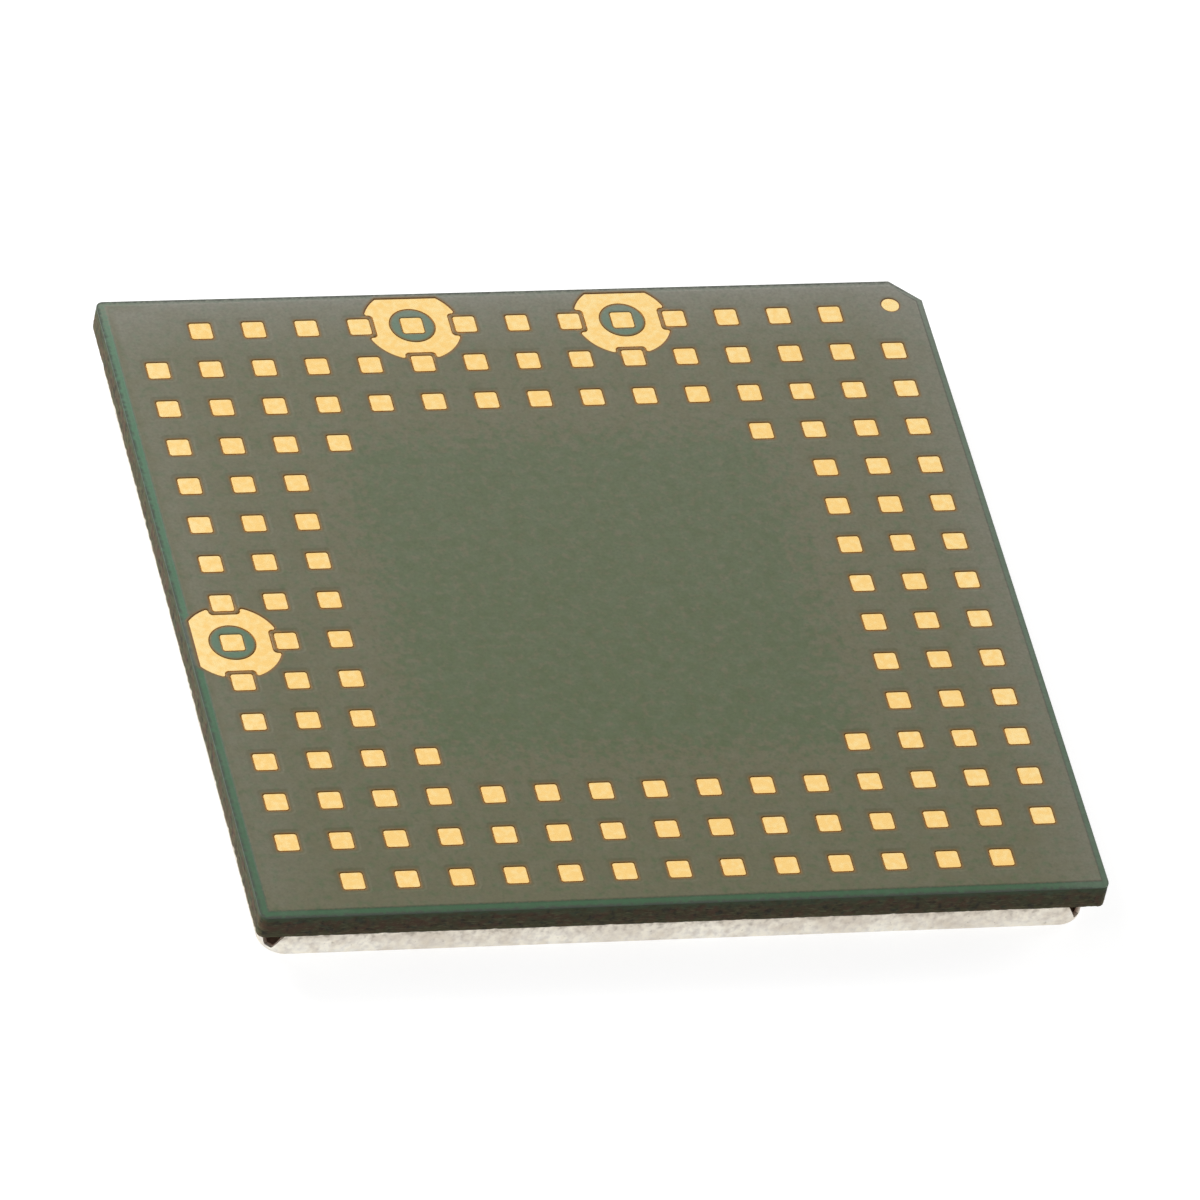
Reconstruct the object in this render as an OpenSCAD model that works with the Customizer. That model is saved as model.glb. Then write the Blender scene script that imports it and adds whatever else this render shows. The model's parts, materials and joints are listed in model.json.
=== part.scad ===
// Land-grid cellular module, lying on its shield lid with the solder lands facing up.
// Sizes are in millimetres. The origin is on the resting plane under the middle of the board:
// X runs along the near edge, Y runs away from it and Z points up through the lands.

/* [Board] */
// Side of the square board
board_side = 28.2; // [27.6:0.1:30]
// Thickness of the glass-fibre laminate
laminate_t = 0.85; // [0.5:0.05:1.6]
// Length of the index chamfer along each edge of its corner
index_chamfer = 0.95; // [0.4:0.05:1]
// Radius of the other three corners
board_corner_r = 0.25; // [0.1:0.05:0.5]
// Thickness of the outer copper layers
copper_t = 0.03; // [0.02:0.005:0.05]
// Thickness of the solder mask over copper
mask_t = 0.03; // [0.02:0.005:0.05]
// How far the mask dips where no copper lies under it
mask_dip = 0.015; // [0.005:0.005:0.02]
// Width of the bare margin between the board edge and the copper pour
pour_margin = 0.29; // [0.2:0.01:0.6]

/* [Lands] */
// Distance between neighbouring lands
land_spacing = 1.8; // [1.6:0.05:2]
// Least distance from the board edge to the centres of the outermost lands
land_edge = 1.4; // [1.2:0.05:1.5]
// Rings of lands around the bare middle
land_rings = 3; // [2:1:4]
// Side of each square land
land_side = 0.72; // [0.5:0.02:0.9]
// Corner radius of the square lands
land_corner_r = 0.08; // [0.04:0.01:0.2]
// Height of the gold-plated lands above the laminate
land_t = 0.04; // [0.03:0.005:0.05]
// Gap between the lands and the mask around them
mask_gap = 0.04; // [0.02:0.01:0.06]
// Gap between the lands and the copper pour
pour_gap = 0.17; // [0.12:0.01:0.22]
// Corner radius of the pour's openings around the lands
pour_gap_r = 0.15; // [0.1:0.01:0.25]

/* [Antenna lands] */
// Outer radius of the ground land around each antenna feed land
ring_outer_r = 1.63; // [1.4:0.01:1.75]
// Radius of the bare disc inside the ground land
ring_hole_r = 0.79; // [0.74:0.01:0.95]
// Distance from the board edge to the straight side of a ground land
ring_edge_gap = 0.24; // [0.12:0.02:0.4]
// Width of the copper that goes on around a ground land, under the mask
ring_copper_lip = 0.12; // [0.06:0.01:0.2]
// Distance from the board edge to that copper
ring_copper_edge = 0.06; // [0.04:0.01:0.1]

/* [Index dot] */
// Diameter of the round index land
dot_d = 0.6; // [0.4:0.05:1]
// Distance from its centre to the two nearest board edges
dot_inset = 1.14; // [0.9:0.02:1.5]

/* [Shield can] */
// Height of the can from the lid to the soldered rim
shield_h = 1.26; // [1.15:0.01:2.5]
// Thickness of the sheet metal
shield_t = 0.15; // [0.1:0.01:0.2]
// Distance from the board edge to the outside of the can
shield_inset = 0.35; // [0.3:0.05:0.8]
// Outside radius of the can's upright corners
shield_corner_r = 0.9; // [0.8:0.05:1.5]
// Inside radius of the bend between lid and walls
shield_bend_r = 0.06; // [0.02:0.01:0.08]
// Depth of the V-shaped relief at each corner of the rim
relief_depth = 1; // [0.3:0.05:1]
// Width of the relief at the rim, straight across the corner
relief_width = 1.3; // [0.8:0.05:2.5]
// Width of the flat at the bottom of the relief
relief_floor = 0.3; // [0.1:0.05:0.4]
// Width of the solder land that shows on each side of the can's walls
shield_land_lip = 0.18; // [0.1:0.02:0.22]
// Leg of the solder fillet along the outside of the walls
solder_leg = 0.15; // [0.05:0.01:0.2]
// Bare length of rim between a solder run and the corner relief
solder_end_gap = 0.3; // [0.1:0.05:1]

/* [Main chips] */
// Side of the processor package
processor_side = 9; // [7:0.5:10]
// Height of the processor package
processor_h = 0.9; // [0.6:0.05:0.95]
// Length of the memory package across the row
memory_l = 8; // [6:0.5:9]
// Width of the memory package along the row's depth
memory_w = 9; // [7:0.5:10]
// Height of the memory package
memory_h = 0.85; // [0.6:0.05:0.95]
// Side of the power management chip
manager_side = 4.6; // [3.5:0.1:5]
// Height of the power management chip
manager_h = 0.55; // [0.4:0.05:0.9]
// Side of the radio transceiver chip
transceiver_side = 5; // [4:0.1:5.6]
// Height of the radio transceiver chip
transceiver_h = 0.6; // [0.4:0.05:0.9]

/* [Radio front end] */
// Side of a power amplifier module
amplifier_side = 4; // [3:0.1:4.5]
// Height of a power amplifier module
amplifier_h = 0.8; // [0.5:0.05:0.95]
// Side of the antenna switch module
switch_side = 3; // [2:0.1:3.5]
// Height of the antenna switch module
switch_h = 0.7; // [0.5:0.05:0.95]
// Side of the low-noise amplifier
receiver_side = 1.5; // [1:0.1:2]
// Height of the low-noise amplifier
receiver_h = 0.5; // [0.4:0.05:0.9]
// Length of a filter package
filter_l = 1.8; // [1.2:0.1:2.2]
// Width of a filter package
filter_w = 1.4; // [1:0.1:1.6]
// Height of a filter package
filter_h = 0.55; // [0.4:0.05:0.9]
// Duplex filters in their row
duplexer_count = 3; // [1:1:3]
// Rows of receive filters
receive_rows = 3; // [1:1:3]

/* [Clocks and passives] */
// Length of a crystal or oscillator can
crystal_l = 2; // [1.6:0.1:2.5]
// Width of a crystal or oscillator can
crystal_w = 1.6; // [1.2:0.1:2]
// Height of a crystal or oscillator can
crystal_h = 0.6; // [0.4:0.05:0.9]
// Length of a supply coil
coil_l = 2; // [1.6:0.1:2.2]
// Width of a supply coil
coil_w = 1.6; // [1.2:0.1:2]
// Height of a supply coil
coil_h = 0.95; // [0.6:0.05:0.95]
// Supply coils in each of their two rows
coil_count = 3; // [1:1:3]
// Length of a supply capacitor
supply_l = 1.6; // [1:0.1:1.8]
// Width and height of a supply capacitor
supply_w = 0.8; // [0.5:0.05:0.9]
// Supply capacitors in their column
supply_count = 4; // [1:1:4]
// Length of a small chip part
chip_l = 1; // [0.6:0.05:1.2]
// Width and height of a small chip part
chip_w = 0.5; // [0.3:0.05:0.6]
// Height of a chip resistor
resistor_h = 0.35; // [0.2:0.05:0.5]
// Rows of small chip parts in a radio block
chip_rows = 6; // [2:1:6]
// Gap between the parts of a group
chip_gap = 0.25; // [0.2:0.05:0.3]
// Gap between neighbours in a row of parts
part_gap = 0.5; // [0.3:0.05:0.6]

/* [Package details] */
// Thickness of a moulded package's substrate
substrate_t = 0.2; // [0.1:0.05:0.3]
// Step from a package's base to its cap
cap_step = 0.12; // [0.05:0.01:0.2]
// Chamfer that marks a package's first contact
mark_chamfer = 0.3; // [0.15:0.05:0.4]
// Length of the plated end of a chip part
end_cap = 0.22; // [0.1:0.02:0.25]
// Step between a chip part's plated ends and its body
end_step = 0.03; // [0.01:0.01:0.05]

/* [Hidden] */
$fn = 48;

// Heights of the layers above the resting plane
laminate_z = shield_h + copper_t;
face_z = laminate_z + laminate_t;
pour_top_z = face_z + copper_t;
seat_z = laminate_z - mask_t;
bare_mask_t = copper_t + mask_t - mask_dip;

// Board and shield half sizes
board_half = board_side / 2;
shield_half = board_half - shield_inset;
shield_corner = shield_half - shield_corner_r;
shield_outer_bend_r = shield_bend_r + shield_t;
solder_run = 2 * (shield_half - relief_width / sqrt(2) - solder_end_gap);

// Land grid, counted in pitches from the middle of the board
grid_reach = floor((board_half - land_edge) / land_spacing);
bare_reach = grid_reach - land_rings;
grid_steps = [-grid_reach : grid_reach];
// Column, row and direction of the nearest board edge for each antenna feed
antenna_sites = [[-2, grid_reach, 90], [2, grid_reach, 90], [-grid_reach, -1, 180]];
ring_flat = board_half - ring_edge_gap - grid_reach * land_spacing;
clearance_side = land_side + 2 * pour_gap;
opening_side = land_side + 2 * mask_gap;
opening_corner_r = land_corner_r + mask_gap;
dot_reach = board_half - dot_inset;

function is_antenna(col, row) = len([for (s = antenna_sites) if (s[0] == col && s[1] == row) s]) > 0;

// The outer corners carry no land, and one extra land stands at each corner of the bare middle
function has_land(col, row) =
    let (far = max(abs(col), abs(row)), near = min(abs(col), abs(row)))
    far == near ? (far >= bare_reach && far < grid_reach) : far > bare_reach;

// Centres of neighbours set side by side with one gap between them, about zero
function total(sizes, count) = count == 0 ? 0 : sizes[count - 1] + total(sizes, count - 1);
function packed(sizes, gap) =
    let (span = total(sizes, len(sizes)) + gap * (len(sizes) - 1))
    [for (i = [0 : len(sizes) - 1]) total(sizes, i) + i * gap + sizes[i] / 2 - span / 2];
function span(count, size) = count * size + (count - 1) * chip_gap;
function spread(count, size) = packed([for (i = [1 : count]) size], chip_gap);

// Part rows, left to right
power_x = packed([manager_side, span(coil_count, coil_l), supply_l, crystal_l], part_gap);
digital_x = packed([chip_l, processor_side, chip_l, memory_l, chip_l], part_gap);
radio_x = packed([crystal_l, transceiver_side, span(2, filter_l), receiver_side, span(2, chip_l),
    span(2, chip_l)], part_gap);
front_x = packed([switch_side, amplifier_side, span(duplexer_count, filter_l), amplifier_side, filter_l],
    part_gap);

// Depth of each row and its centre, from the near edge to the far edge
power_depth = max(manager_side, span(2, coil_w), span(supply_count, supply_w), crystal_w);
digital_depth = max(processor_side, memory_w);
radio_depth = max(transceiver_side, span(receive_rows, filter_w), span(chip_rows, chip_w), crystal_w);
front_depth = max(switch_side, amplifier_side, filter_w);
row_y = packed([power_depth, digital_depth, radio_depth, front_depth], part_gap);
power_y = row_y[0];
digital_y = row_y[1];
radio_y = row_y[2];
front_y = row_y[3];

// Colours as the photograph shows them
laminate_colour = "#4a4038";
copper_colour = "#b87349";
mask_colour = "#6f7460";
gold_colour = "#f3cf87";
tin_colour = "#d8d2c4";
mould_colour = "#2b2c2e";
ceramic_colour = "#b9a88a";
resistor_colour = "#3a3c46";

// Flat outlines

module rounded_square(side, r) {
    bar = side - 2 * r;
    square([side, bar], center = true);
    square([bar, side], center = true);
    for (x = [-1, 1], y = [-1, 1])
        translate([x, y] * bar / 2)
            circle(r);
}

module board_outline(inset = 0) {
    half = board_half - inset;
    cut = index_chamfer - inset * (2 - sqrt(2));
    corner_r = max(board_corner_r - inset, 0);
    difference() {
        polygon([[-half, -half], [half, -half], [half, half - cut], [half - cut, half], [-half, half]]);
        if (corner_r > 0)
            for (turn = [90, 180, 270])
                rotate(turn)
                    translate([half - corner_r, half - corner_r])
                        difference() {
                            square(2 * corner_r);
                            circle(corner_r);
                        }
    }
}

// The full face of an antenna ground land, with its straight side towards +X, widened all round by grow
module ring_disc(grow = 0) {
    difference() {
        circle(ring_outer_r + grow);
        translate([ring_flat + grow, -board_half])
            square([board_half, board_side]);
    }
}

// The same land with its hole and with notches for the neighbouring lands
module ring_outline(grow = 0) {
    difference() {
        ring_disc(grow);
        circle(ring_hole_r - grow);
        for (turn = [90, 180, 270])
            rotate(turn)
                translate([land_spacing, 0])
                    rounded_square(clearance_side - 2 * grow, pour_gap_r);
    }
}

module at_lands(antenna) {
    for (col = grid_steps, row = grid_steps)
        if (has_land(col, row) && is_antenna(col, row) == antenna)
            translate([col, row] * land_spacing)
                children();
}

module at_antennas() {
    for (site = antenna_sites)
        translate([site[0], site[1]] * land_spacing)
            rotate(site[2])
                children();
}

module at_dot() {
    translate([dot_reach, dot_reach])
        children();
}

// Ground copper stops at the bare margin, reaches past it around the antenna lands and clears the others
module ground_outline() {
    difference() {
        union() {
            board_outline(pour_margin);
            intersection() {
                board_outline(ring_copper_edge);
                at_antennas()
                    circle(ring_outer_r + ring_copper_lip);
            }
        }
        at_lands(false)
            rounded_square(clearance_side, pour_gap_r);
        at_antennas()
            circle(ring_hole_r);
    }
}

// Where ground copper is plated and free of mask, widened all round by grow
module plated_ground(grow = 0) {
    at_antennas()
        ring_disc(grow);
    at_dot()
        circle(dot_d / 2 + grow);
}

// Mask over the laminate, in the margin and in the clearances
module bare_outline() {
    difference() {
        board_outline();
        ground_outline();
        at_lands(false)
            rounded_square(opening_side, opening_corner_r);
        at_lands(true)
            rounded_square(opening_side, opening_corner_r);
        at_antennas()
            ring_outline(mask_gap);
    }
}

// Frame under the can's rim, widened all round by grow, with the same edge distance at the chamfer
module shield_land_outline(grow = 0) {
    lip = shield_land_lip + grow;
    inner_half = shield_half - shield_t - lip;
    difference() {
        intersection() {
            rounded_square(2 * (shield_half + lip), shield_corner_r + lip);
            board_outline(shield_inset - lip);
        }
        square(2 * inner_half, center = true);
    }
}

// Section of the can from a corner's centre line out to the wall
module shield_profile() {
    difference() {
        bent_section(shield_corner_r, 0, shield_outer_bend_r);
        bent_section(shield_corner_r - shield_t, shield_t, shield_bend_r);
    }
}

module bent_section(reach, floor_z, bend_r) {
    translate([0, floor_z])
        square([reach - bend_r, shield_h - floor_z]);
    translate([0, floor_z + bend_r])
        square([reach, shield_h - floor_z - bend_r]);
    translate([reach - bend_r, floor_z + bend_r])
        circle(bend_r);
}

module relief_section() {
    rim = relief_width / 2;
    floor = relief_floor / 2;
    polygon([[-rim, copper_t], [-rim, 0], [-floor, -relief_depth], [floor, -relief_depth], [rim, 0],
        [rim, copper_t]]);
}

// Board and lands

module laminate() {
    color(laminate_colour)
        translate([0, 0, laminate_z])
            linear_extrude(laminate_t)
                board_outline();
}

module ground_pour() {
    color(copper_colour)
        translate([0, 0, face_z])
            linear_extrude(copper_t)
                difference() {
                    ground_outline();
                    plated_ground();
                }
}

module pad_face_mask() {
    color(mask_colour) {
        translate([0, 0, pour_top_z])
            linear_extrude(mask_t)
                difference() {
                    ground_outline();
                    plated_ground(mask_gap);
                }
        translate([0, 0, face_z])
            linear_extrude(bare_mask_t)
                bare_outline();
    }
}

module signal_lands() {
    color(gold_colour)
        translate([0, 0, face_z])
            linear_extrude(land_t)
                at_lands(false)
                    rounded_square(land_side, land_corner_r);
}

module antenna_feed_lands() {
    color(gold_colour)
        translate([0, 0, face_z])
            linear_extrude(land_t)
                at_lands(true)
                    rounded_square(land_side, land_corner_r);
}

module antenna_ground_lands() {
    color(gold_colour)
        translate([0, 0, face_z])
            linear_extrude(land_t)
                at_antennas()
                    ring_outline();
}

module index_dot() {
    color(gold_colour)
        translate([0, 0, face_z])
            linear_extrude(land_t)
                at_dot()
                    circle(dot_d / 2);
}

module part_face_mask() {
    color(mask_colour)
        translate([0, 0, seat_z])
            linear_extrude(mask_t)
                difference() {
                    board_outline();
                    shield_land_outline(mask_gap);
                }
}

// Shield

module shield_land() {
    color(tin_colour)
        translate([0, 0, shield_h])
            linear_extrude(copper_t)
                shield_land_outline();
}

module shield_can() {
    color(tin_colour)
        difference() {
            folded_sheet();
            for (corner = [45, 135, 225, 315])
                rotate(corner)
                    translate([0, 0, shield_h])
                        rotate([90, 0, 90])
                            linear_extrude(board_side)
                                relief_section();
        }
}

module folded_sheet() {
    translate([-shield_corner, -shield_corner, 0])
        cube([2 * shield_corner, 2 * shield_corner, shield_t]);
    for (turn = [0, 90, 180, 270])
        rotate(turn) {
            translate([shield_corner, shield_corner, 0])
                rotate_extrude(angle = 90)
                    shield_profile();
            translate([shield_corner, 0, 0])
                rotate([90, 0, 0])
                    linear_extrude(2 * shield_corner, center = true)
                        shield_profile();
        }
}

module shield_solder() {
    color(tin_colour)
        for (turn = [0, 90, 180, 270])
            rotate(turn)
                translate([shield_half, 0, shield_h])
                    rotate([90, 0, 0])
                        linear_extrude(solder_run, center = true)
                            polygon([[0, 0], [solder_leg, 0], [0, -solder_leg]]);
}

// Packages, standing on the plane z = 0 about their centre

module block(l, w, h) {
    translate([-l / 2, -w / 2, 0])
        cube([l, w, h]);
}

module marked_block(l, w, h) {
    linear_extrude(h)
        polygon([[-l / 2, -w / 2], [l / 2, -w / 2], [l / 2, w / 2], [mark_chamfer - l / 2, w / 2],
            [-l / 2, w / 2 - mark_chamfer]]);
}

module moulded_package(l, w, h) {
    block(l, w, substrate_t);
    translate([0, 0, substrate_t])
        marked_block(l - 2 * cap_step, w - 2 * cap_step, h - substrate_t);
}

module lidded_package(l, w, h) {
    marked_block(l, w, h - substrate_t);
    translate([0, 0, h - substrate_t])
        block(l - 2 * cap_step, w - 2 * cap_step, substrate_t);
}

module chip(l, w, h) {
    block(l - 2 * end_step, w - 2 * end_step, h - end_step);
    for (side = [-1, 1])
        translate([side * (l - end_cap) / 2, 0, 0])
            block(end_cap, w, h);
}

// Places its children on the part face, standing towards the lid
module on_part_face(x, y) {
    translate([x, y, seat_z])
        mirror([0, 0, 1])
            children();
}

module part_grid(x, y, x_steps, y_steps) {
    for (dx = x_steps, dy = y_steps)
        on_part_face(x + dx, y + dy)
            children();
}

// Main chips

module processor() {
    color(mould_colour)
        on_part_face(digital_x[1], digital_y)
            moulded_package(processor_side, processor_side, processor_h);
}

module memory_chip() {
    color(mould_colour)
        on_part_face(digital_x[3], digital_y)
            moulded_package(memory_l, memory_w, memory_h);
}

module power_manager() {
    color(mould_colour)
        on_part_face(power_x[0], power_y)
            marked_block(manager_side, manager_side, manager_h);
}

module rf_transceiver() {
    color(mould_colour)
        on_part_face(radio_x[1], radio_y)
            marked_block(transceiver_side, transceiver_side, transceiver_h);
}

// Radio front end

module antenna_switch() {
    color(mould_colour)
        on_part_face(front_x[0], front_y)
            moulded_package(switch_side, switch_side, switch_h);
}

module low_band_amplifier() {
    color(mould_colour)
        on_part_face(front_x[1], front_y)
            moulded_package(amplifier_side, amplifier_side, amplifier_h);
}

module duplexers() {
    color(ceramic_colour)
        part_grid(front_x[2], front_y, spread(duplexer_count, filter_l), [0])
            lidded_package(filter_l, filter_w, filter_h);
}

module high_band_amplifier() {
    color(mould_colour)
        on_part_face(front_x[3], front_y)
            moulded_package(amplifier_side, amplifier_side, amplifier_h);
}

module satellite_filter() {
    color(ceramic_colour)
        on_part_face(front_x[4], front_y)
            lidded_package(filter_l, filter_w, filter_h);
}

module receive_filters() {
    color(ceramic_colour)
        part_grid(radio_x[2], radio_y, spread(2, filter_l), spread(receive_rows, filter_w))
            lidded_package(filter_l, filter_w, filter_h);
}

module low_noise_amplifier() {
    color(mould_colour)
        on_part_face(radio_x[3], radio_y)
            marked_block(receiver_side, receiver_side, receiver_h);
}

// Clocks and passives

module reference_oscillator() {
    color(ceramic_colour)
        on_part_face(radio_x[0], radio_y)
            lidded_package(crystal_l, crystal_w, crystal_h);
}

module clock_crystal() {
    color(ceramic_colour)
        on_part_face(power_x[3], power_y)
            lidded_package(crystal_l, crystal_w, crystal_h);
}

module power_inductors() {
    color(resistor_colour)
        part_grid(power_x[1], power_y, spread(coil_count, coil_l), spread(2, coil_w))
            chip(coil_l, coil_w, coil_h);
}

module supply_capacitors() {
    color(ceramic_colour)
        part_grid(power_x[2], power_y, [0], spread(supply_count, supply_w))
            chip(supply_l, supply_w, supply_w);
}

module bypass_capacitors() {
    count = floor((digital_depth + chip_gap) / (chip_w + chip_gap));
    color(ceramic_colour)
        for (column = [0, 2, 4])
            part_grid(digital_x[column], digital_y, [0], spread(count, chip_w))
                chip(chip_l, chip_w, chip_w);
}

module matching_inductors() {
    color(ceramic_colour)
        part_grid(radio_x[4], radio_y, spread(2, chip_l), spread(chip_rows, chip_w))
            chip(chip_l, chip_w, chip_w);
}

module resistors() {
    color(resistor_colour)
        part_grid(radio_x[5], radio_y, spread(2, chip_l), spread(chip_rows, chip_w))
            chip(chip_l, chip_w, resistor_h);
}

laminate();
ground_pour();
pad_face_mask();
signal_lands();
antenna_feed_lands();
antenna_ground_lands();
index_dot();
part_face_mask();
shield_land();
shield_can();
shield_solder();
processor();
memory_chip();
power_manager();
rf_transceiver();
low_band_amplifier();
high_band_amplifier();
antenna_switch();
low_noise_amplifier();
duplexers();
receive_filters();
satellite_filter();
reference_oscillator();
clock_crystal();
power_inductors();
supply_capacitors();
bypass_capacitors();
matching_inductors();
resistors();
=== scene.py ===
import json
import math

import bpy
import numpy as np
from mathutils import Matrix, Vector, noise
from mathutils.geometry import delaunay_2d_cdt


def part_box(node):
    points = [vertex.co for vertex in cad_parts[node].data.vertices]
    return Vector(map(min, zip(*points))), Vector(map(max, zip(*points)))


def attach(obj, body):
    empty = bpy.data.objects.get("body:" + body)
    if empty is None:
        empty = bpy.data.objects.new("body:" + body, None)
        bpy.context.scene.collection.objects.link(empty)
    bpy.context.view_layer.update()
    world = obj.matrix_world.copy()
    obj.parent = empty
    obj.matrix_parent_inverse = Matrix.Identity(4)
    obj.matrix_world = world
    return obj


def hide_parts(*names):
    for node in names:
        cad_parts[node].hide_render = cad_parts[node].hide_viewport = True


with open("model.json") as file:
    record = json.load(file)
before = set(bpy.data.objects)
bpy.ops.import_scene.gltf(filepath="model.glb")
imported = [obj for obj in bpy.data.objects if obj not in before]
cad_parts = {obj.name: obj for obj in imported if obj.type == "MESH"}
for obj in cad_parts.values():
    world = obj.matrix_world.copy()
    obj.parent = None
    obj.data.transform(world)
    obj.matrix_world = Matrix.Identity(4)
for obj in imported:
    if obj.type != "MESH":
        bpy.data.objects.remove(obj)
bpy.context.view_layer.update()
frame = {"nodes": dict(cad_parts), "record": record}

# Lengths are in millimetres until a mesh, lamp or camera is made from them
MM = 0.001

# Camera of the photograph: where it looks, how far away it stands, its angles in degrees, its lens
# and sensor, and from which distance on it sees things
CAMERA_TARGET = (0.016, -0.399, 2.18)
CAMERA_DISTANCE = 511.6
CAMERA_AZIMUTH = -21.466
CAMERA_ELEVATION = 43.386
CAMERA_ROLL = 13.296
CAMERA_LENS = 471.5
CAMERA_SENSOR = 36
CAMERA_NEAR = 10

# Studio: how bright floor and backdrop look, where on its way up the backdrop begins to darken, and
# the light that the surroundings cast
FLOOR_HALF = 2000
FLOOR_GREY = (0.40, 0.40, 0.40, 1)
FLOOR_GLOW = 0.79
BACKDROP_GLOW = 1.0
BACKDROP_TOP_GLOW = 0.45
BACKDROP_TURN = 0.80
SURROUNDINGS = 0.36
WHITE = (1, 1, 1, 1)
# Place, side and watts of each soft box, and whether metal mirrors it
LAMPS = {
    "key": ((-90, 130, 120), 100, 0.26, True),
    "left": ((-220, -10, 50), 120, 0.28, False),
    "right": ((220, 80, 50), 120, 0.36, False),
}

# Places read from the solids
BOARD_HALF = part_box("laminate")[1].x / MM
LAMINATE_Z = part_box("laminate")[0].z / MM
FACE_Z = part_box("laminate")[1].z / MM
POUR_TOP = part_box("ground_pour")[1].z / MM
MASK_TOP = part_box("pad_face_mask")[1].z / MM
LAND_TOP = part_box("signal_lands")[1].z / MM
SHIELD_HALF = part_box("shield_can")[1].x / MM
SHIELD_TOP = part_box("shield_can")[1].z / MM
SEAT_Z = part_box("part_face_mask")[0].z / MM

# Land pattern, as the part's source has it
CHAMFER = 0.95
BOARD_CORNER = 0.25
MARGIN = 0.29
PITCH = 1.8
GRID_REACH = 7
BARE_REACH = 4
LAND_SIDE = 0.72
LAND_CORNER = 0.08
MASK_GAP = 0.04
POUR_GAP = 0.17
POUR_CORNER = 0.15
RING_R = 1.63
RING_HOLE_R = 0.79
RING_EDGE_GAP = 0.24
RING_COPPER_LIP = 0.12
RING_COPPER_EDGE = 0.06
DOT_R = 0.3
DOT_INSET = 1.14
# Column, row and way to the board edge of each antenna feed
ANTENNAS = (((-2, 7), (0, 1)), ((2, 7), (0, 1)), ((-7, -1), (-1, 0)))
FEEDS = [cell for cell, _ in ANTENNAS]

OPENING_SIDE = LAND_SIDE + 2 * MASK_GAP
OPENING_CORNER = LAND_CORNER + MASK_GAP
CLEARANCE_SIDE = LAND_SIDE + 2 * POUR_GAP
LAST_LAND = GRID_REACH * PITCH
RING_FLAT = BOARD_HALF - RING_EDGE_GAP - LAST_LAND
COPPER_R = RING_R + RING_COPPER_LIP
COPPER_FLAT = BOARD_HALF - RING_COPPER_EDGE - LAST_LAND
DOT_AT = BOARD_HALF - DOT_INSET

# Rounded tips beside the notches of the antenna ground lands, which only the scene has, and how far
# from its middle each rounding is in force
RING_TIP_R = 0.07
TIP_REACH = 3 * RING_TIP_R
# Points round a tip and round the index dot
TIP_STEPS = 24
DOT_STEPS = 32

# How the mask film follows the copper: its dip beside it, half the width of the slope, a flat strip
# beyond each slope, and the rounded shoulder at an opening
MASK_DIP = 0.015
SLOPE = 0.045
STRIP = 0.015
SHOULDER = 0.02
SHOULDER_DROP = 0.006
SLOPE_LOOPS = (-SLOPE - STRIP, -SLOPE, 0, SLOPE, SLOPE + STRIP)
OPENING_LOOPS = (MASK_GAP, MASK_GAP + SHOULDER)
# How much further out the film comes down at the right and far edges than at the other two
STEP_DRIFT = 0.09
# Rounded edge of the film at the board's outline, and how far in it is darkened in ragged patches
EDGE_ROUND = 0.07
EDGE_DROP = 0.004
EDGE_DARK_REACH = 0.2

# How far the brown edge of the film around an opening goes, how far around the index dot and around
# a feed it is calm, and up to which width the film between two openings is a web
RUST_REACH = 0.09
DOT_CALM_REACH = 2 * RUST_REACH
FEED_CALM_R = RING_HOLE_R - MASK_GAP - RUST_REACH
WEB_LIMIT = 1.2 * (POUR_GAP - 2 * MASK_GAP)

# Share of paler green inside the antenna ground lands, and of painted light, a paler green lit from
# the left, at the left margin, with its rise there from the middle to the far end
ANNULUS_GLOW = 0.7
LEFT_PAINTED_LIGHT = 0.52
LEFT_PAINTED_LIGHT_RISE = 0.45
# What a place loses of a share: green at the far margin, paled there as painted sheen, painted
# sheen at the left one, darkening at the right one, and the brown edge where it is calm
FAR_GREEN_LOSS = 0.4
LEFT_SHEEN_LOSS = 0.6
RIGHT_EDGE_DARK_LOSS = 0.5
CALM_RUST_LOSS = 0.6
# What it gains: painted shade at the right step, and painted sheen at the far margin and inside the
# antenna ground lands
RIGHT_SHADE_GAIN = 0.6
FAR_SHEEN_GAIN = 0.09

# Share of painted sheen: its rise from the near edge to the middle, what the right half adds, and
# what the far edge and the sides add within their reach
SHEEN_RISE = 0.073
SHEEN_RIGHT = 0.04
SHEEN_FAR = 0.34
SHEEN_FAR_POWER = 1.5
SHEEN_SIDE = 0.17
SHEEN_SIDE_LEAN = 0.03
FAR_REACH = 3.5
SIDE_REACH = 2.5

# Rounded rim of the gold lands, and the least corner of a loop inside one
RIM = 0.02
RIM_DROP = 0.0015
RIM_LOOPS = (0, RIM / 4, RIM, 2 * RIM)
INNER_CORNER = 0.03
# Share of pale gold: by chance from land to land, and painted sheen as on the mask and at the sides
PALE_BY_LAND = 0.15
PALE_BY_SHEEN = 0.9
PALE_AT_SIDES = 0.5
# Level at which the chance from land to land is read
CHANCE_LEVEL = 0.5

# Milled edge of the laminate, its broken lower rim, and how far the part-side mask stays back from
# the edge
EDGE_STEP = 0.07
EDGE_LEVELS = 14
EDGE_DEPTH = 0.012
CHIP_DEPTH = 0.035
CHIP_HEIGHT = 0.14
MASK_SETBACK = 0.07
# Noise on that edge: waves to the millimetre along it and up it, and a shift that keeps it apart
FIBRE_WAVES = (1.6, 14, 0)
CHATTER_WAVES = (7, 2.5, 31)
LONG_CHIP_WAVES = (2.2, 0, 7)
SHORT_CHIP_WAVES = (5.5, 0, 17)
FIBRE_SHARE = 0.65
CHATTER_SHARE = 0.55
LONG_CHIP_SHARE = 0.5
EDGE_GAIN = 1.6
# How far down the edge mask is smeared, and how far up its fibres are torn
SMEAR_HEIGHT = 0.3
TORN_HEIGHT = 0.25
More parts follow.
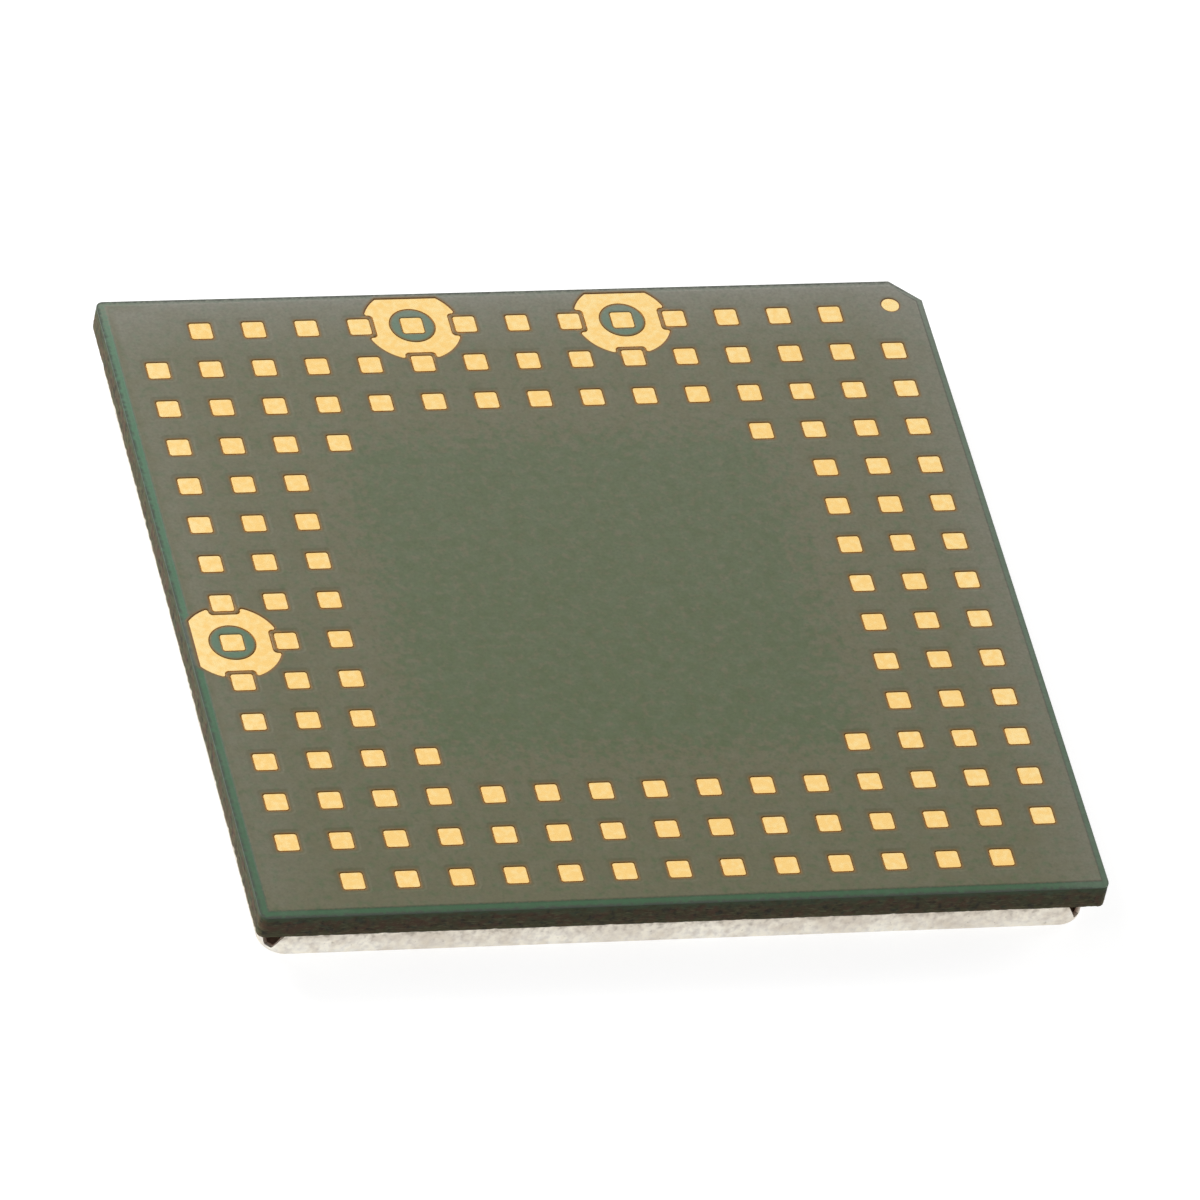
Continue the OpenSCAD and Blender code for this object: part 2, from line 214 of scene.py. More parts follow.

# Folded shield can, with the waves of its walls and the height from which on a painted shadow
# under the board darkens it
SHEET = 0.15
CAN_CORNER = 0.9
CAN_CORNER_STEPS = 32
BEND_INSIDE = 0.06
BEND_STEPS = 6
RELIEF_DEPTH = 1.0
RELIEF_WIDTH = 1.3
RELIEF_FLOOR = 0.3
CAN_STEP = 0.12
OUTER_LEVELS = 9
INNER_LEVELS = 4
CAN_WAVE = 0.006
CAN_WAVES = (0.9, 1.5, 0)
SHADOW_FROM_Z = 0.2

# Frame that the part-side mask leaves open for the can's land
SHIELD_LAND_LIP = 0.18
FRAME_LIP = SHIELD_LAND_LIP + MASK_GAP
FRAME_OUTER = SHIELD_HALF + FRAME_LIP
FRAME_INNER = SHIELD_HALF - SHEET - FRAME_LIP
FRAME_STEPS = 12

# Solder fillets: their run along a wall, sections and points, and their narrow ends
SOLDER_LEG = 0.15
SOLDER_END_GAP = 0.3
SOLDER_RUN = SHIELD_HALF - RELIEF_WIDTH / math.sqrt(2) - SOLDER_END_GAP
SOLDER_SECTIONS = 160
SOLDER_ARC = 6
SOLDER_TAPER = 3
SOLDER_END = 0.12
# How uneven they are, with waves to the millimetre, and shifts that keep leg and rise and the walls
# apart
LEG_UNEVEN = 0.14
LEG_WAVES = 0.8
RISE_UNEVEN = 0.1
RISE_WAVES = 0.5
RISE_SHIFT = 5
WALL_SHIFT = 9

# Linear colours
OLIVE = (0.077, 0.108, 0.039, 1)
OLIVE_WARM = (0.124, 0.119, 0.058, 1)
CLEARANCE_BROWN = (0.110, 0.101, 0.040, 1)
CLEARANCE_RUST = (0.215, 0.108, 0.012, 1)
MARGIN_GREEN = (0.016, 0.090, 0.028, 1)
# Paler green inside the antenna ground lands, also painted light at the left margin
PALE_GREEN_AND_PAINTED_LIGHT = (0.065, 0.195, 0.105, 1)
# Dark colour laid in ragged patches along the board's edge
MASK_EDGE_DARK = (0.024, 0.034, 0.020, 1)
# Painted sheen: a pale grey laid over the mask
PAINTED_SHEEN = (0.305, 0.300, 0.270, 1)
# Fine grime in the mask's grain, also painted shade along the step inside the margin
GRIME_AND_SHADE = (0.050, 0.044, 0.030, 1)
GOLD = (0.965, 0.648, 0.232, 1)
GOLD_PALE = (0.985, 0.748, 0.345, 1)
RESIN = (0.50, 0.26, 0.07, 1)
LAMINATE_DARK = (0.055, 0.055, 0.026, 1)
LAMINATE_RED = (0.083, 0.049, 0.029, 1)
LAMINATE_BLACK = (0.018, 0.015, 0.010, 1)
LAMINATE_FIBRE = (0.190, 0.175, 0.100, 1)
LAMINATE_GREEN = (0.058, 0.090, 0.050, 1)
TIN = (0.90, 0.855, 0.745, 1)
TIN_GREY = (0.80, 0.78, 0.735, 1)
# Tin stains and specks, also painted shadow under the board near the walls' top
TIN_STAIN_AND_SHADOW = (0.56, 0.48, 0.39, 1)
TIN_SPECK_AND_SHADOW = (0.36, 0.33, 0.27, 1)
FLUX = (0.46, 0.29, 0.21, 1)
SOLDER_BRIGHT = (0.66, 0.65, 0.62, 1)
SOLDER_DULL = (0.56, 0.54, 0.5, 1)
# Matte finishes: name, dark and light colour of the grain, its size, roughness and depth
PART_SIDE_MASK = ("part_side_mask", CLEARANCE_BROWN, OLIVE_WARM, 0.3, 0.45, 0.002)
MATTE_BY_SLOT = {
    "copper": ("copper_foil",
               (0.20, 0.085, 0.035, 1), (0.28, 0.125, 0.05, 1), 0.08, 0.5, 0.002),
    "mould": ("moulding_compound",
              (0.020, 0.021, 0.023, 1), (0.032, 0.033, 0.035, 1), 0.06, 0.6, 0.006),
    "ceramic": ("fired_ceramic",
                (0.42, 0.34, 0.22, 1), (0.52, 0.43, 0.30, 1), 0.05, 0.55, 0.003),
    "ferrite": ("ferrite_body",
                (0.035, 0.038, 0.052, 1), (0.055, 0.058, 0.075, 1), 0.05, 0.5, 0.003),
}
# Half the range of a matte finish's roughness, and the refraction of resins
MATTE_SPAN = 0.07
RESIN_IOR = 1.5

# Range that most of a noise texture lies in
NOISE_LOW = 0.3
NOISE_HIGH = 0.7
# Upward part of a normal up to which a face is a wall, and from which on it looks up
WALL_UP = 0.5
FACE_UP = 0.9

# Angle from which on an edge is sharp, and distance up to which two points are one
SHARP_ANGLE = math.radians(40)
SAME_POINT = 1e-6


# Mesh plans: loops of points in the plane, with the lines between them

def rounded_square(x, y, side, radius, steps=4):
    """A square about (x, y) with rounded corners."""
    reach = side / 2 - radius
    loop = []
    for turn, (right, up) in enumerate(((1, 1), (-1, 1), (-1, -1), (1, -1))):
        for step in range(steps + 1):
            angle = math.pi / 2 * (turn + step / steps)
            loop.append((x + right * reach + radius * math.cos(angle),
                         y + up * reach + radius * math.sin(angle)))
    return loop


def circle(x, y, radius, steps=64):
    angles = [math.tau * step / steps for step in range(steps)]
    return [(x + radius * math.cos(angle), y + radius * math.sin(angle)) for angle in angles]


def flat_disc(x, y, radius, flat, outward, steps=72):
    """A circle about (x, y), cut straight at the distance flat in the outward direction."""
    heading = math.atan2(outward[1], outward[0])
    start = math.acos(flat / radius)
    loop = []
    for step in range(steps + 1):
        angle = heading + start + (math.tau - 2 * start) * step / steps
        loop.append((x + radius * math.cos(angle), y + radius * math.sin(angle)))
    return loop


def board_outline(inset):
    """The board's outline, moved in by inset: three rounded corners and the index chamfer."""
    half = BOARD_HALF - inset
    cut = CHAMFER - inset * (2 - math.sqrt(2))
    chamfer = [(half, half - cut), (half - cut, half)]
    radius = BOARD_CORNER - inset
    if radius <= 0:
        return chamfer + [(-half, half), (-half, -half), (half, -half)]
    rounded = rounded_square(0, 0, 2 * half, radius)
    return chamfer + rounded[len(rounded) // 4:]


def subdivided(corners, step):
    """The same closed outline with a point at about every step."""
    loop = []
    for start, end in zip(corners, corners[1:] + corners[:1]):
        count = max(1, round(math.dist(start, end) / step))
        way = np.subtract(end, start)
        loop += [tuple(np.add(start, way * i / count)) for i in range(count)]
    return loop


def place_of(cell):
    return cell[0] * PITCH, cell[1] * PITCH


def has_land(col, row):
    """Three rings of cells without the outermost corners, and one more cell at each inner one."""
    far, near = np.maximum(abs(col), abs(row)), np.minimum(abs(col), abs(row))
    corner = (far >= BARE_REACH) & (far < GRID_REACH)
    return np.where(far == near, corner, (far > BARE_REACH) & (far <= GRID_REACH))


def land_cells():
    """Column and row of every land in the grid, antenna feeds among them."""
    steps = range(-GRID_REACH, GRID_REACH + 1)
    return [(col, row) for col in steps for row in steps if has_land(col, row)]


def notches():
    """Feed and direction of every notch in an antenna ground land: all but the board edge's."""
    turns = ((1, 0), (-1, 0), (0, 1), (0, -1))
    return [(feed, turn) for feed, outward in ANTENNAS for turn in turns if turn != outward]


def ring_neighbours():
    """Cells whose lands cut a notch into an antenna ground land."""
    return [(col + right, row + up) for (col, row), (right, up) in notches()]


def ring_tips():
    """Middle of each rounded tip, the way to it from the feed, and the way into its notch."""
    across = CLEARANCE_SIDE / 2 + RING_TIP_R
    along = math.sqrt((RING_R - RING_TIP_R) ** 2 - across ** 2)
    tips = []
    for feed, turn in notches():
        ahead, aside = Vector(turn), Vector((-turn[1], turn[0]))
        for side in (aside, -aside):
            reach = along * ahead + across * side
            tips.append((Vector(feed) * PITCH + reach, reach.normalized(), -side))
    return tips


def tip_loops(radius):
    return [circle(middle.x, middle.y, radius, TIP_STEPS) for middle, _, _ in ring_tips()]


# Distances in the plane, for arrays of places

def square_distance(x, y, side, radius):
    """Distance outside a rounded square about the origin, negative inside it."""
    reach = side / 2 - radius
    right, up = np.abs(x) - reach, np.abs(y) - reach
    beyond = np.hypot(np.maximum(right, 0), np.maximum(up, 0))
    return beyond + np.minimum(np.maximum(right, up), 0) - radius


def from_land(x, y):
    """Place relative to the nearest land, far off where the nearest cell has none."""
    col, row = np.round(x / PITCH), np.round(y / PITCH)
    away = np.where(has_land(col, row), 0, BOARD_HALF)
    return x - col * PITCH + away, y - row * PITCH + away


def from_feed(x, y):
    """Distance to the nearest antenna feed."""
    return np.minimum.reduce([np.hypot(x - col * PITCH, y - row * PITCH) for col, row in FEEDS])


def from_disc(x, y, radius, flat):
    """Distance outside the nearest disc about an antenna feed, cut straight near the board edge."""
    return np.minimum.reduce([
        np.maximum(np.hypot(x - col * PITCH, y - row * PITCH) - radius,
                   (x - col * PITCH) * right + (y - row * PITCH) * up - flat)
        for (col, row), (right, up) in ANTENNAS])


def from_edge(x, y):
    """Distance inside the board's outline."""
    chamfer = (2 * BOARD_HALF - CHAMFER - x - y) / math.sqrt(2)
    return np.minimum(chamfer, -square_distance(x, y, 2 * BOARD_HALF, BOARD_CORNER))


def drift(place):
    """How far out the margin's edge is moved, which is nothing at the left and near edges."""
    return STEP_DRIFT * (1 + place / BOARD_HALF) / 2


def inside_copper(x, y):
    """Distance inside the ground copper, negative where the mask lies on bare laminate."""
    pour = from_edge(x - drift(x), y - drift(y)) - MARGIN
    around_rings = -from_disc(x, y, COPPER_R, COPPER_FLAT)
    off_lands = square_distance(*from_land(x, y), CLEARANCE_SIDE, POUR_CORNER)
    off_feeds = from_feed(x, y) - RING_HOLE_R
    return np.minimum.reduce([np.maximum(pour, around_rings), off_lands, off_feeds])


def from_ring(x, y, grow):
    """Distance outside the antenna ground lands, widened all round by grow."""
    disc = from_disc(x, y, RING_R + grow, RING_FLAT + grow)
    hole = RING_HOLE_R - grow - from_feed(x, y)
    notch = -square_distance(*from_land(x, y), CLEARANCE_SIDE - 2 * grow, POUR_CORNER)
    outside = np.maximum.reduce([disc, hole, notch])
    for middle, out, aside in ring_tips():
        right, up = x - middle.x, y - middle.y
        away = np.hypot(right, up)
        turn = out.x * aside.y - out.y * aside.x
        outwards = (right * aside.y - up * aside.x) / turn > 0
        sidewards = (out.x * up - out.y * right) / turn > 0
        at_tip = outwards & sidewards & (away < TIP_REACH)
        outside = np.where(at_tip, away - RING_TIP_R - grow, outside)
    return outside


def from_dot(x, y):
    return np.hypot(x - DOT_AT, y - DOT_AT) - DOT_R


def from_land_opening(x, y):
    return square_distance(*from_land(x, y), OPENING_SIDE, OPENING_CORNER)


def from_opening(x, y):
    """Distance outside the nearest opening in the mask."""
    openings = [from_land_opening(x, y), from_ring(x, y, MASK_GAP), from_dot(x, y) - MASK_GAP]
    return np.minimum.reduce(openings)


def between_openings(x, y):
    """Width of the strip of mask between a land's opening and that of an antenna ground land."""
    return from_land_opening(x, y) + from_ring(x, y, MASK_GAP)


def eased(value):
    """0 below -1, 1 above 1 and a smooth rise between them."""
    share = np.clip((value + 1) / 2, 0, 1)
    return share * share * (3 - 2 * share)


def faded(distance, reach):
    """1 at no distance, falling evenly to 0 at the reach."""
    return np.clip(1 - distance / reach, 0, 1)


# Pieces

def show(name, points, faces, surface, node):
    """A mesh piece made from points in millimetres, which stands for a CAD node."""
    mesh = bpy.data.meshes.new(name)
    mesh.from_pydata(np.asarray(points, float) * MM, [], faces)
    mesh.shade_smooth()
    mesh.set_sharp_from_angle(angle=SHARP_ANGLE)
    mesh.materials.append(surface.material)
    piece = bpy.data.objects.new(name, mesh)
    bpy.context.scene.collection.objects.link(piece)
    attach(piece, "root")
    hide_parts(node)
    return piece


def slot_of(node):
    subparts = frame["record"]["subparts"]
    return next(part["material_slot"] for part in subparts if part["node"] == node)


def paint(piece, **values):
    """Stores one number for each point of the mesh under each name."""
    for name, numbers in values.items():
        attribute = piece.data.attributes.new(name, "FLOAT", "POINT")
        attribute.data.foreach_set("value", np.asarray(numbers, np.float32))


def triangulated(loops, spots):
    """Points and triangles of the plane that follow every loop and have a corner at every spot."""
    points, lines = [Vector(spot) for spot in spots], []
    for loop in loops:
        first, count = len(points), len(loop)
        points += [Vector(point) for point in loop]
        lines += [(first + i, first + (i + 1) % count) for i in range(count)]
    found, _, triangles, *_ = delaunay_2d_cdt(points, lines, [], 0, SAME_POINT)
    return np.array([tuple(point) for point in found]), np.array([tuple(t) for t in triangles])


def film(loops, outside, top, bottom, spots=()):
    """Points and faces of a closed film where outside is negative, between two heights."""
    flat, triangles = triangulated(loops, spots)
    middles = flat[triangles].mean(axis=1)
    triangles = triangles[outside(middles[:, 0], middles[:, 1]) < 0]
    used, triangles = np.unique(triangles, return_inverse=True)
    triangles = triangles.reshape(-1, 3)
    x, y = flat[used].T
    count = len(used)
    points = np.concatenate([np.column_stack([x, y, height(x, y)]) for height in (top, bottom)])
    faces = [tuple(t) for t in triangles] + [tuple(t[::-1] + count) for t in triangles]
    faces += [(b, a, a + count, b + count) for a, b in open_edges(triangles)]
    return points, faces


def level(z):
    """A height that is the same everywhere."""
    return lambda x, y: np.full_like(x, z)


def open_edges(triangles):
    """Edges that only one triangle has, in that triangle's direction."""
    edges = np.concatenate([triangles[:, [0, 1]], triangles[:, [1, 2]], triangles[:, [2, 0]]])
    known = {tuple(edge) for edge in edges}
    return [(int(a), int(b)) for a, b in edges if (b, a) not in known]


def border_loops():
    """Loops along the board's outline and down the step at the inner side of its margin."""
    insets = (0, EDGE_ROUND / 4, EDGE_ROUND / 2, EDGE_ROUND, EDGE_DARK_REACH)
    loops = [subdivided(board_outline(inset), PITCH) for inset in insets]
    for step in SLOPE_LOOPS:
        outline = subdivided(board_outline(MARGIN + step), PITCH)
        loops.append([(x + drift(x), y + drift(y)) for x, y in outline])
    return loops


def opening_loop(x, y, grow):
    return rounded_square(x, y, OPENING_SIDE + 2 * grow, OPENING_CORNER + grow)


def opening_loops():
    """Loops around every land's opening and down the step at the clearance around it."""
    loops = []
    for cell in land_cells():
        x, y = place_of(cell)
        loops += [opening_loop(x, y, grow) for grow in (0, SHOULDER)]
        if cell not in FEEDS:
            loops += [rounded_square(x, y, CLEARANCE_SIDE + 2 * step, POUR_CORNER + step)
                      for step in SLOPE_LOOPS]
    return loops


def antenna_loops():
    """Loops around the openings of the antenna ground lands and down the step around them."""
    loops = []
    for feed, outward in ANTENNAS:
        x, y = place_of(feed)
        for grow in OPENING_LOOPS:
            loops += [flat_disc(x, y, RING_R + grow, RING_FLAT + grow, outward),
                      circle(x, y, RING_HOLE_R - grow)]
        loops += [flat_disc(x, y, COPPER_R + step, COPPER_FLAT + step, outward)
                  for step in SLOPE_LOOPS[:-1]]
        loops += [opening_loop(x, y, RUST_REACH), circle(x, y, FEED_CALM_R)]
    for x, y in map(place_of, ring_neighbours()):
        loops += [rounded_square(x, y, CLEARANCE_SIDE - 2 * grow, POUR_CORNER)
                  for grow in OPENING_LOOPS]
    for grow in OPENING_LOOPS:
        loops += tip_loops(RING_TIP_R + grow)
    return loops


def dot_loops():
    return [circle(DOT_AT, DOT_AT, DOT_R + MASK_GAP + grow, DOT_STEPS)
            for grow in (0, SHOULDER, RUST_REACH)]


def field_spots():
    """Places between the lands and over the bare middle."""
    steps = [i * PITCH / 2 for i in range(-2 * GRID_REACH - 1, 2 * GRID_REACH + 2)]
    return [(x, y) for x in steps for y in steps]


def mask_outside(x, y):
    return np.maximum(-from_edge(x, y), -from_opening(x, y))


def mask_top(x, y):
    dip = MASK_DIP * (1 - eased(inside_copper(x, y) / SLOPE))
    shoulder = SHOULDER_DROP * faded(from_opening(x, y), SHOULDER) ** 2
    edge = EDGE_DROP * faded(from_edge(x, y), EDGE_ROUND) ** 2
    return MASK_TOP - dip - shoulder - edge


def mask_bottom(x, y):
    return FACE_Z + (POUR_TOP - FACE_Z) * eased(inside_copper(x, y) / SLOPE)


def make_pad_face_mask():
    loops = border_loops() + opening_loops() + antenna_loops() + dot_loops()
    points, faces = film(loops, mask_outside, mask_top, mask_bottom, field_spots())
    piece = show("mask_film", points, faces, solder_mask(), "pad_face_mask")
    x, y, _ = points.T
    paint(piece, **mask_shares(x, y))


def mask_shares(x, y):
    """How much of each tint of the mask a place has, with painted sheen, painted light and painted
    shade among them.
    """
    copper, edge, feed = inside_copper(x, y), from_edge(x, y), from_feed(x, y)
    bare = 1 - eased(copper / SLOPE)
    margin, annulus = edge < 2 * MARGIN, feed < RING_HOLE_R
    left = margin & (x < 2 * MARGIN - BOARD_HALF)
    right = margin & (x > BOARD_HALF - 2 * MARGIN)
    far = margin & (y > BOARD_HALF - 2 * MARGIN)
    calm = (from_dot(x, y) < DOT_CALM_REACH) | (feed < FEED_CALM_R)
    # Painted light: the left margin paler and greener, more so towards the far end
    left_painted_light = left * (LEFT_PAINTED_LIGHT + LEFT_PAINTED_LIGHT_RISE * y / BOARD_HALF)
    # Painted shade: a dark line along the foot of the film's slope inside the margin, stronger at
    # the right
    step = faded(np.abs(copper), SLOPE) * margin * (1 - far)
    return {
        # Less green at the far margin, paled there as painted sheen
        "green": bare * (margin | annulus) * (1 - FAR_GREEN_LOSS * far),
        "brown": bare * ~(margin | annulus),
        "glow": ANNULUS_GLOW * annulus + left_painted_light,
        "warm": eased(np.maximum(np.abs(x), np.abs(y)) - PITCH * BARE_REACH),
        # Painted sheen, less at the left margin and more at the far margin and inside the antenna
        # ground lands
        "painted_sheen": painted_sheen_share(x, y) * (1 - LEFT_SHEEN_LOSS * left) + FAR_SHEEN_GAIN * (far | annulus),
        "rust": faded(from_opening(x, y), RUST_REACH) * (1 - CALM_RUST_LOSS * calm),
        "web": between_openings(x, y) < WEB_LIMIT,
        "step": step * (1 + RIGHT_SHADE_GAIN * right),
        # Darker in ragged patches along the board's edge, less at the right
        "edge_dark": faded(edge, EDGE_DARK_REACH) * (1 - RIGHT_EDGE_DARK_LOSS * right),
    }


def at_sides(x):
    return faded(BOARD_HALF - np.abs(x), SIDE_REACH)


def painted_sheen_share(x, y):
    """Share of painted sheen, which grows from the near edge to the far one and at the sides."""
    rise = SHEEN_RISE * (1 + y / BOARD_HALF) + SHEEN_RIGHT * np.clip(x / BOARD_HALF, 0, 1)
    far = SHEEN_FAR * faded(BOARD_HALF - y, FAR_REACH) ** SHEEN_FAR_POWER
    return rise + far + (SHEEN_SIDE + SHEEN_SIDE_LEAN * x / BOARD_HALF) * at_sides(x)


def gold_top(outside):
    """Height of the gold, which falls off at its rim."""
    return lambda x, y: LAND_TOP - RIM_DROP * faded(-outside(x, y), RIM) ** 2


def make_gold(name, node, loops, outside, surface):
    points, faces = film(loops, outside, gold_top(outside), level(FACE_Z))
    piece = show(name, points, faces, surface, node)
    x, y, _ = points.T
    cells = np.round(points[:, :2] / PITCH)
    chance = [noise.cell(Vector((col, row, CHANCE_LEVEL))) for col, row in cells]
    # Paler gold by chance from land to land, and painted sheen towards the far edge and the sides
    pale = PALE_BY_LAND * np.array(chance) + PALE_BY_SHEEN * painted_sheen_share(x, y)
    paint(piece, pale=pale + PALE_AT_SIDES * at_sides(x))


def land_loops(cells):
    loops = []
    for x, y in map(place_of, cells):
        loops += [rounded_square(x, y, LAND_SIDE - 2 * step, max(LAND_CORNER - step, INNER_CORNER))
                  for step in RIM_LOOPS]
    return loops


def from_square_land(x, y):
    return square_distance(*from_land(x, y), LAND_SIDE, LAND_CORNER)


def ring_loops():
    loops = []
    for step in RIM_LOOPS:
        for feed, outward in ANTENNAS:
            x, y = place_of(feed)
            loops += [flat_disc(x, y, RING_R - step, RING_FLAT - step, outward),
                      circle(x, y, RING_HOLE_R + step)]
        loops += [rounded_square(x, y, CLEARANCE_SIDE + 2 * step, POUR_CORNER)
                  for x, y in map(place_of, ring_neighbours())]
        loops += tip_loops(RING_TIP_R - step)
    return loops


def make_lands():
    surface = gold_plate()
    signals = [cell for cell in land_cells() if cell not in FEEDS]
    dot = [circle(DOT_AT, DOT_AT, DOT_R - step, DOT_STEPS) for step in RIM_LOOPS]
    make_gold("signal_gold", "signal_lands", land_loops(signals), from_square_land, surface)
    make_gold("feed_gold", "antenna_feed_lands", land_loops(FEEDS), from_square_land, surface)
    make_gold("ring_gold", "antenna_ground_lands", ring_loops(),
              lambda x, y: from_ring(x, y, 0), surface)
    make_gold("dot_gold", "index_dot", dot, from_dot, surface)


def outward_normals(loop):
    """Unit normals of a closed anticlockwise outline."""
    loop = np.array(loop)
    along = np.roll(loop, -1, axis=0) - np.roll(loop, 1, axis=0)
    normals = np.column_stack([along[:, 1], -along[:, 0]])
    return normals / np.linalg.norm(normals, axis=1, keepdims=True)


def ripple(x, y, z, along, up, shift):
    """Noise at a place, with that many waves to the millimetre along the board and up."""
    return noise.noise(Vector((x * along, y * along, z * up + shift)))


def milled_depth(x, y, z):
    """How deep torn fibres, the router and chips at the lower rim go into the laminate's edge."""
    fibres, chatter = ripple(x, y, z, *FIBRE_WAVES), ripple(x, y, z, *CHATTER_WAVES)
    rough = min(1, abs(FIBRE_SHARE * fibres + CHATTER_SHARE * chatter) * EDGE_GAIN)
    chips = LONG_CHIP_SHARE * ripple(x, y, z, *LONG_CHIP_WAVES) + ripple(x, y, z, *SHORT_CHIP_WAVES)
    near_rim = max(0, 1 - (z - LAMINATE_Z) / CHIP_HEIGHT)
    return EDGE_DEPTH * rough + CHIP_DEPTH * near_rim * max(0, chips)


def skin_faces(count, levels, first=0):
    """Quads between closed rings of count points each, ring after ring from the top down."""
    faces = []
    for ring in range(first, first + (levels - 1) * count, count):
        for here in range(count):
            ahead = (here + 1) % count
            faces.append((ring + here, ring + count + here, ring + count + ahead, ring + ahead))
    return faces


def make_laminate():
    loop = subdivided(board_outline(0), EDGE_STEP)
    normals = outward_normals(loop)
    points = []
    for z in np.linspace(FACE_Z, LAMINATE_Z, EDGE_LEVELS):
        for (x, y), (right, up) in zip(loop, normals):
            depth = milled_depth(x, y, z)
            points.append((x - right * depth, y - up * depth, z))
    count = len(loop)
    faces = skin_faces(count, EDGE_LEVELS)
    faces.append(tuple(range(count)))
    faces.append(tuple(reversed(range(len(points) - count, len(points)))))
    show("milled_laminate", points, faces, laminate_edge(), "laminate")


def part_mask_outside(x, y):
    """Distance outside the part-side mask, which leaves the frame for the can's land open."""
    outer = square_distance(x, y, 2 * FRAME_OUTER, CAN_CORNER + FRAME_LIP)
    inner = square_distance(x, y, 2 * FRAME_INNER, 0)
    return np.maximum(MASK_SETBACK - from_edge(x, y), -np.maximum(outer, -inner))


def make_part_face_mask():
    inner = FRAME_INNER
    loops = [subdivided(board_outline(MASK_SETBACK), PITCH),
             rounded_square(0, 0, 2 * FRAME_OUTER, CAN_CORNER + FRAME_LIP, FRAME_STEPS),
             [(inner, inner), (-inner, inner), (-inner, -inner), (inner, -inner)]]
    points, faces = film(loops, part_mask_outside, level(LAMINATE_Z), level(SEAT_Z))
    show("part_side_film", points, faces, matte(*PART_SIDE_MASK), "part_face_mask")


def can_path():
    """Outline of the can's outside, with its outward normals."""
    straight = 2 * (SHIELD_HALF - CAN_CORNER)
    count, size = round(straight / CAN_STEP), CAN_CORNER_STEPS + 1
    corners = rounded_square(0, 0, 2 * SHIELD_HALF, CAN_CORNER, CAN_CORNER_STEPS)
    loop = []
    for turn in range(4):
        loop += corners[size * turn:size * (turn + 1)]
        heading = math.pi / 2 * (turn + 1)
        start, ahead = np.array(loop[-1]), np.array([-math.sin(heading), math.cos(heading)])
        loop += [tuple(start + ahead * straight * i / count) for i in range(1, count)]
    return np.array(loop), outward_normals(loop)


def rim_height(x, y):
    """Height of the can's rim, with a V-shaped relief at each corner."""
    across = abs(abs(x) - abs(y)) / math.sqrt(2)
    near_corner = abs(x) + abs(y) > 2 * SHIELD_HALF - 2 * CAN_CORNER
    slope = (RELIEF_WIDTH / 2 - across) / (RELIEF_WIDTH / 2 - RELIEF_FLOOR / 2)
    return SHIELD_TOP - (RELIEF_DEPTH * min(max(slope, 0), 1) if near_corner else 0)


def can_skin(path, normals, inset, bend, wall_levels):
    """Points of one side of the sheet, ring by ring from rim to lid, and the number of rings."""
    corner = inset + bend
    rings = []
    for share in np.linspace(0, 1, wall_levels):
        rings.append([(inset, rim_height(x, y) * (1 - share) + corner * share) for x, y in path])
    for step in range(1, BEND_STEPS + 1):
        angle = math.pi / 2 * step / BEND_STEPS
        bent = (inset + bend * (1 - math.cos(angle)), corner - bend * math.sin(angle))
        rings.append([bent] * len(path))
    points = []
    for ring in rings:
        for (x, y), (right, up), (depth, z) in zip(path, normals, ring):
            depth += CAN_WAVE * (1 + ripple(x, y, z, *CAN_WAVES)) / 2
            points.append((x - right * depth, y - up * depth, z))
    return points, len(rings)


def make_shield_can():
    path, normals = can_path()
    count = len(path)
    outer, outer_rings = can_skin(path, normals, 0, BEND_INSIDE + SHEET, OUTER_LEVELS)
    inner, inner_rings = can_skin(path, normals, SHEET, BEND_INSIDE, INNER_LEVELS)
    first, total = len(outer), len(outer) + len(inner)
    faces = skin_faces(count, outer_rings)
    faces += [tuple(reversed(face)) for face in skin_faces(count, inner_rings, first)]
    faces += [(i, (i + 1) % count, first + (i + 1) % count, first + i) for i in range(count)]
    faces.append(tuple(reversed(range(first - count, first))))
    faces.append(tuple(range(total - count, total)))
    piece = show("folded_can", outer + inner, faces, tinned_sheet(), "shield_can")
    paint(piece, inside=[0] * len(outer) + [1] * len(inner))


def solder_section(turn, along):
    """Hollow outline of a wall's fillet, out from the wall and up from the rim."""
    leg_noise = noise.noise(Vector((along * LEG_WAVES, turn * WALL_SHIFT, 0)))
    rise_noise = noise.noise(Vector((along * RISE_WAVES, turn * WALL_SHIFT, RISE_SHIFT)))
    taper = min(1, SOLDER_TAPER * (1 - abs(along) / SOLDER_RUN) + SOLDER_END)
    leg = SOLDER_LEG * taper * (1 - LEG_UNEVEN + LEG_UNEVEN * leg_noise)
    rise = leg * (1 - RISE_UNEVEN + RISE_UNEVEN * rise_noise)
    angles = [math.pi / 2 * step / SOLDER_ARC for step in range(SOLDER_ARC + 1)]
    hollow = [(leg * (1 - math.sin(angle)), -rise * (1 - math.cos(angle))) for angle in angles]
    return [(0, 0)] + hollow


def make_solder():
    """Uneven hollow fillets along the four walls."""
    points, faces = [], []
    for turn in range(4):
        spin = Matrix.Rotation(math.pi / 2 * turn, 2)
        first = len(points)
        for i in range(SOLDER_SECTIONS):
            along = SOLDER_RUN * (2 * i / (SOLDER_SECTIONS - 1) - 1)
            section = solder_section(turn, along)
            for out, up in section:
                x, y = spin @ Vector((SHIELD_HALF + out, along))
                points.append((x, y, SHIELD_TOP + up))
        count = len(section)
        faces += skin_faces(count, SOLDER_SECTIONS, first)
        faces.append(tuple(range(first, first + count)))
        faces.append(tuple(reversed(range(len(points) - count, len(points)))))
    show("solder_fillets", points, faces, solder(), "shield_solder")


# Materials

